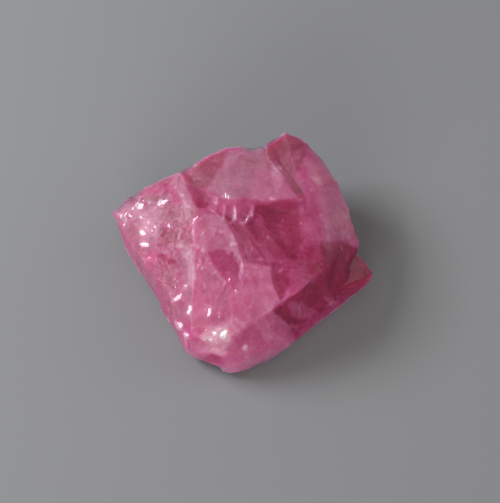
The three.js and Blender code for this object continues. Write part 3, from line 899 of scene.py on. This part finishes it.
def how_crushed(skin, seen, normal):
    """How crushed the break is at each point: the level facets of the west end, and what CRUSHED lists."""
    west = WEST_END_STRAY * lattice_noise(skin, *WEST_END_NOISE) - skin[..., 0]
    crushed = smooth_step(west, *WEST_END)
    crushed *= smooth_step(normal[..., 2], *CRUSHED_SLOPE)
    for corners in CRUSHED.values():
        within = smooth_step(inside(seen, corners), -OUTLINE_FADE, OUTLINE_FADE)
        crushed = np.maximum(crushed, CRUSHED_SHARE * within * (skin[..., 2] > CRUSHED_HEIGHT))
    return crushed


def relief_of(skin, normal, crest, crushed):
    """How far the break raises or lowers each point along its normal.

    Flake scars, mostly on the steep walls, deeper ones on the far side, grains and unevenness are added up
    and kept within limits. Then come scallops on the level facets, dents round the foot, and nibbles out of
    the crests.
    """
    up = normal[..., 2]
    wall = 1 - smooth_step(up, *WALL_SLOPE)
    far_side = 1 - smooth_step(normal @ TO_VIEWER, *FAR_SIDE)
    patchy = smooth_step(layered_noise(skin, *PATCHES), *PATCH_EDGE)
    bent = strayed(skin, skin, lattice_noise, *SCAR_STRAY)
    relief = flake_scars(bent, *WALL_SCARS) * (SCARS_ON_TOP + (1 - SCARS_ON_TOP) * wall)
    small_share = SMALL_SCARS_ON_TOP + (1 - SMALL_SCARS_ON_TOP) * wall
    relief += flake_scars(bent, *SMALL_WALL_SCARS) * small_share * patchy
    relief += flake_scars(bent, *FAR_SCARS) * far_side
    relief += flake_scars(bent, *SMALL_FAR_SCARS) * far_side * patchy
    warped = strayed(skin, skin, lattice_noise, *GRAIN_STRAY)
    relief += grains(warped, *COARSE_GRAINS) * crushed
    grain_share = PLAIN_GRAIN + crushed * (CRUSHED_GRAIN + PATCHY_GRAIN * patchy)
    relief += grains(skin, *FINE_GRAINS) * grain_share
    relief += UNEVEN_HEIGHT * layered_noise(skin, *UNEVENNESS)
    relief += FINE_UNEVEN_HEIGHT * layered_noise(skin, *FINE_UNEVENNESS)
    relief = np.clip(relief, -DEEPEST - FAR_DEEPER * far_side, HIGHEST + FAR_HIGHER * far_side)
    relief += scallops(skin)[0] * smooth_step(up, *SCALLOP_SLOPE)
    low = 1 - smooth_step(skin[..., 2], *FOOT_RISE)
    relief -= DENT_DEPTH * low * (layered_noise(skin, *DENTS) + DENT_BIAS)
    nibble = smooth_step(layered_noise(skin, *NIBBLES), *NIBBLE_EDGE)
    return relief - nibble * np.clip(crest, 0, NIBBLED_CREST) * NIBBLED_SHARE


def make_stone():
    """The whole stone: its skin moved along its normals by the relief, and its values at each point."""
    skin = lay_skin(cad_triangles(stone_cad))
    seen = sight(skin)
    skin = rounded_off(skin, seen)
    normal = facing(skin)
    broad = spread_out(normal, BROAD_TIMES)
    crest = standing_out(skin, broad, CREST_TIMES)
    crushed = how_crushed(skin, seen, broad)
    chip_move, chipped = strike_chips(skin, normal)
    relief = relief_of(skin, broad, crest, crushed) * (1 - chipped) + chip_move
    # the facets' tones are partly painted light and shade, and their grey partly a painted sheen
    milk_and_painted_light, smoke_and_sheen = paint(skin, spread_out(normal, PAINT_TIMES))
    # crests painted paler, partly worn whitish edges and partly a painted highlight; grooves painted darker,
    # a painted shade
    milk_and_painted_light += CREST_PALE_AND_GROOVE_SHADE * np.clip(crest, *CREST_AND_GROOVE_RANGE)
    # a painted glint along the rims of the scallops
    milk_and_painted_light += CRESCENT_GLINT_PAINT * scallops(skin)[1] * smooth_step(broad[..., 2], *SCALLOP_SLOPE)
    # a painted glow round each glinting chip, partly whiter bruised stone
    milk_and_painted_light += CHIP_BRUISE_AND_GLOW * spread_out(chipped, HALO_TIMES)
    worn = np.maximum(smooth_step(crest, *WORN_CREST), WORN_CRUSHED * crushed) * (1 - chipped)
    sharp = (crushed > SHARP_CRUSHED) | (chipped > SHARP_CHIP) | (np.abs(crest) > SHARP_CREST)
    off_foot = smooth_step(skin[..., 2], *OFF_THE_FOOT)
    off_tip = 1 - TIP_LOSS * smooth_step(-skin[..., 0], *TIP)
    skin = skin + normal * (relief * off_foot * off_tip)[..., None]
    values = {"milk_and_painted_light": milk_and_painted_light, "smoke_and_sheen": smoke_and_sheen, "chipped": chipped, "worn": worn}
    stone = write_grid("rubellite_stone", skin, values, sharp)
    stone.data.materials.append(rubellite_material())
    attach(stone, "root")
    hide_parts("rubellite_crystal")


# The stage

FLOOR_REACH = 400 * MM

# Lamps: place, width and height in metres, power in watts and colour
LAMPS = {
    "window": (WINDOW.tolist(), 0.096, 0.072, 0.36, (0.98, 0.98, 1.0)),
    "fill": ((-0.08, -0.27, 0.07), 0.20, 0.12, 0.56, (1.0, 0.97, 0.95)),
    "east": ((0.26, 0.04, 0.14), 0.20, 0.20, 0.18, (1.0, 0.98, 0.97)),
}
WORLD_COLOUR = (0.66, 0.62, 0.60, 1)
WORLD_STRENGTH = 0.50

CAMERA_DISTANCE = 130
CAMERA_TARGET = np.array([0.6, 0.0, 3.4])
VIEW_WIDTH = 35.2     # of what the camera takes in at its target
SENSOR_WIDTH = 36


def make_floor():
    """A level square round the stone."""
    mesh = bpy.data.meshes.new("floor")
    far = FLOOR_REACH
    corners = [(-far, -far, 0), (far, -far, 0), (far, far, 0), (-far, far, 0)]
    mesh.from_pydata(corners, [], [(0, 1, 2, 3)])
    mesh.materials.append(floor_material())
    floor = bpy.data.objects.new("floor", mesh)
    bpy.context.collection.objects.link(floor)


def add_panel(name, place, width, height, energy, colour):
    """A rectangular lamp at a place in metres, turned towards the stone."""
    light = bpy.data.lights.new(name, "AREA")
    light.shape = "RECTANGLE"
    light.size, light.size_y = width, height
    light.energy = energy
    light.color = colour
    lamp = bpy.data.objects.new(name, light)
    bpy.context.collection.objects.link(lamp)
    lamp.location = place
    lamp.rotation_mode = "QUATERNION"
    lamp.rotation_quaternion = (-Vector(place)).to_track_quat("-Z", "Y")


def make_lights():
    """The lamps, and an even warm grey light all round."""
    for name, (place, width, height, energy, colour) in LAMPS.items():
        add_panel(name, place, width, height, energy, colour)
    world = bpy.data.worlds.new("studio")
    bpy.context.scene.world = world
    world.use_nodes = True
    background = world.node_tree.nodes["Background"]
    background.inputs["Color"].default_value = WORLD_COLOUR
    background.inputs["Strength"].default_value = WORLD_STRENGTH


def make_camera():
    """A camera on the line of sight, with a lens that takes in VIEW_WIDTH at its target."""
    lens = bpy.data.cameras.new("camera")
    lens.sensor_width = SENSOR_WIDTH
    lens.lens = SENSOR_WIDTH * CAMERA_DISTANCE / VIEW_WIDTH
    lens.clip_start = 1 * MM
    camera = bpy.data.objects.new("camera", lens)
    bpy.context.collection.objects.link(camera)
    camera.location = ((CAMERA_TARGET + TO_VIEWER * CAMERA_DISTANCE) * MM).tolist()
    camera.rotation_euler = (math.radians(90) - ELEVATION, 0, 0)
    bpy.context.scene.camera = camera


make_stone()
make_floor()
make_lights()
make_camera()
bpy.context.scene.view_settings.view_transform = "Standard"
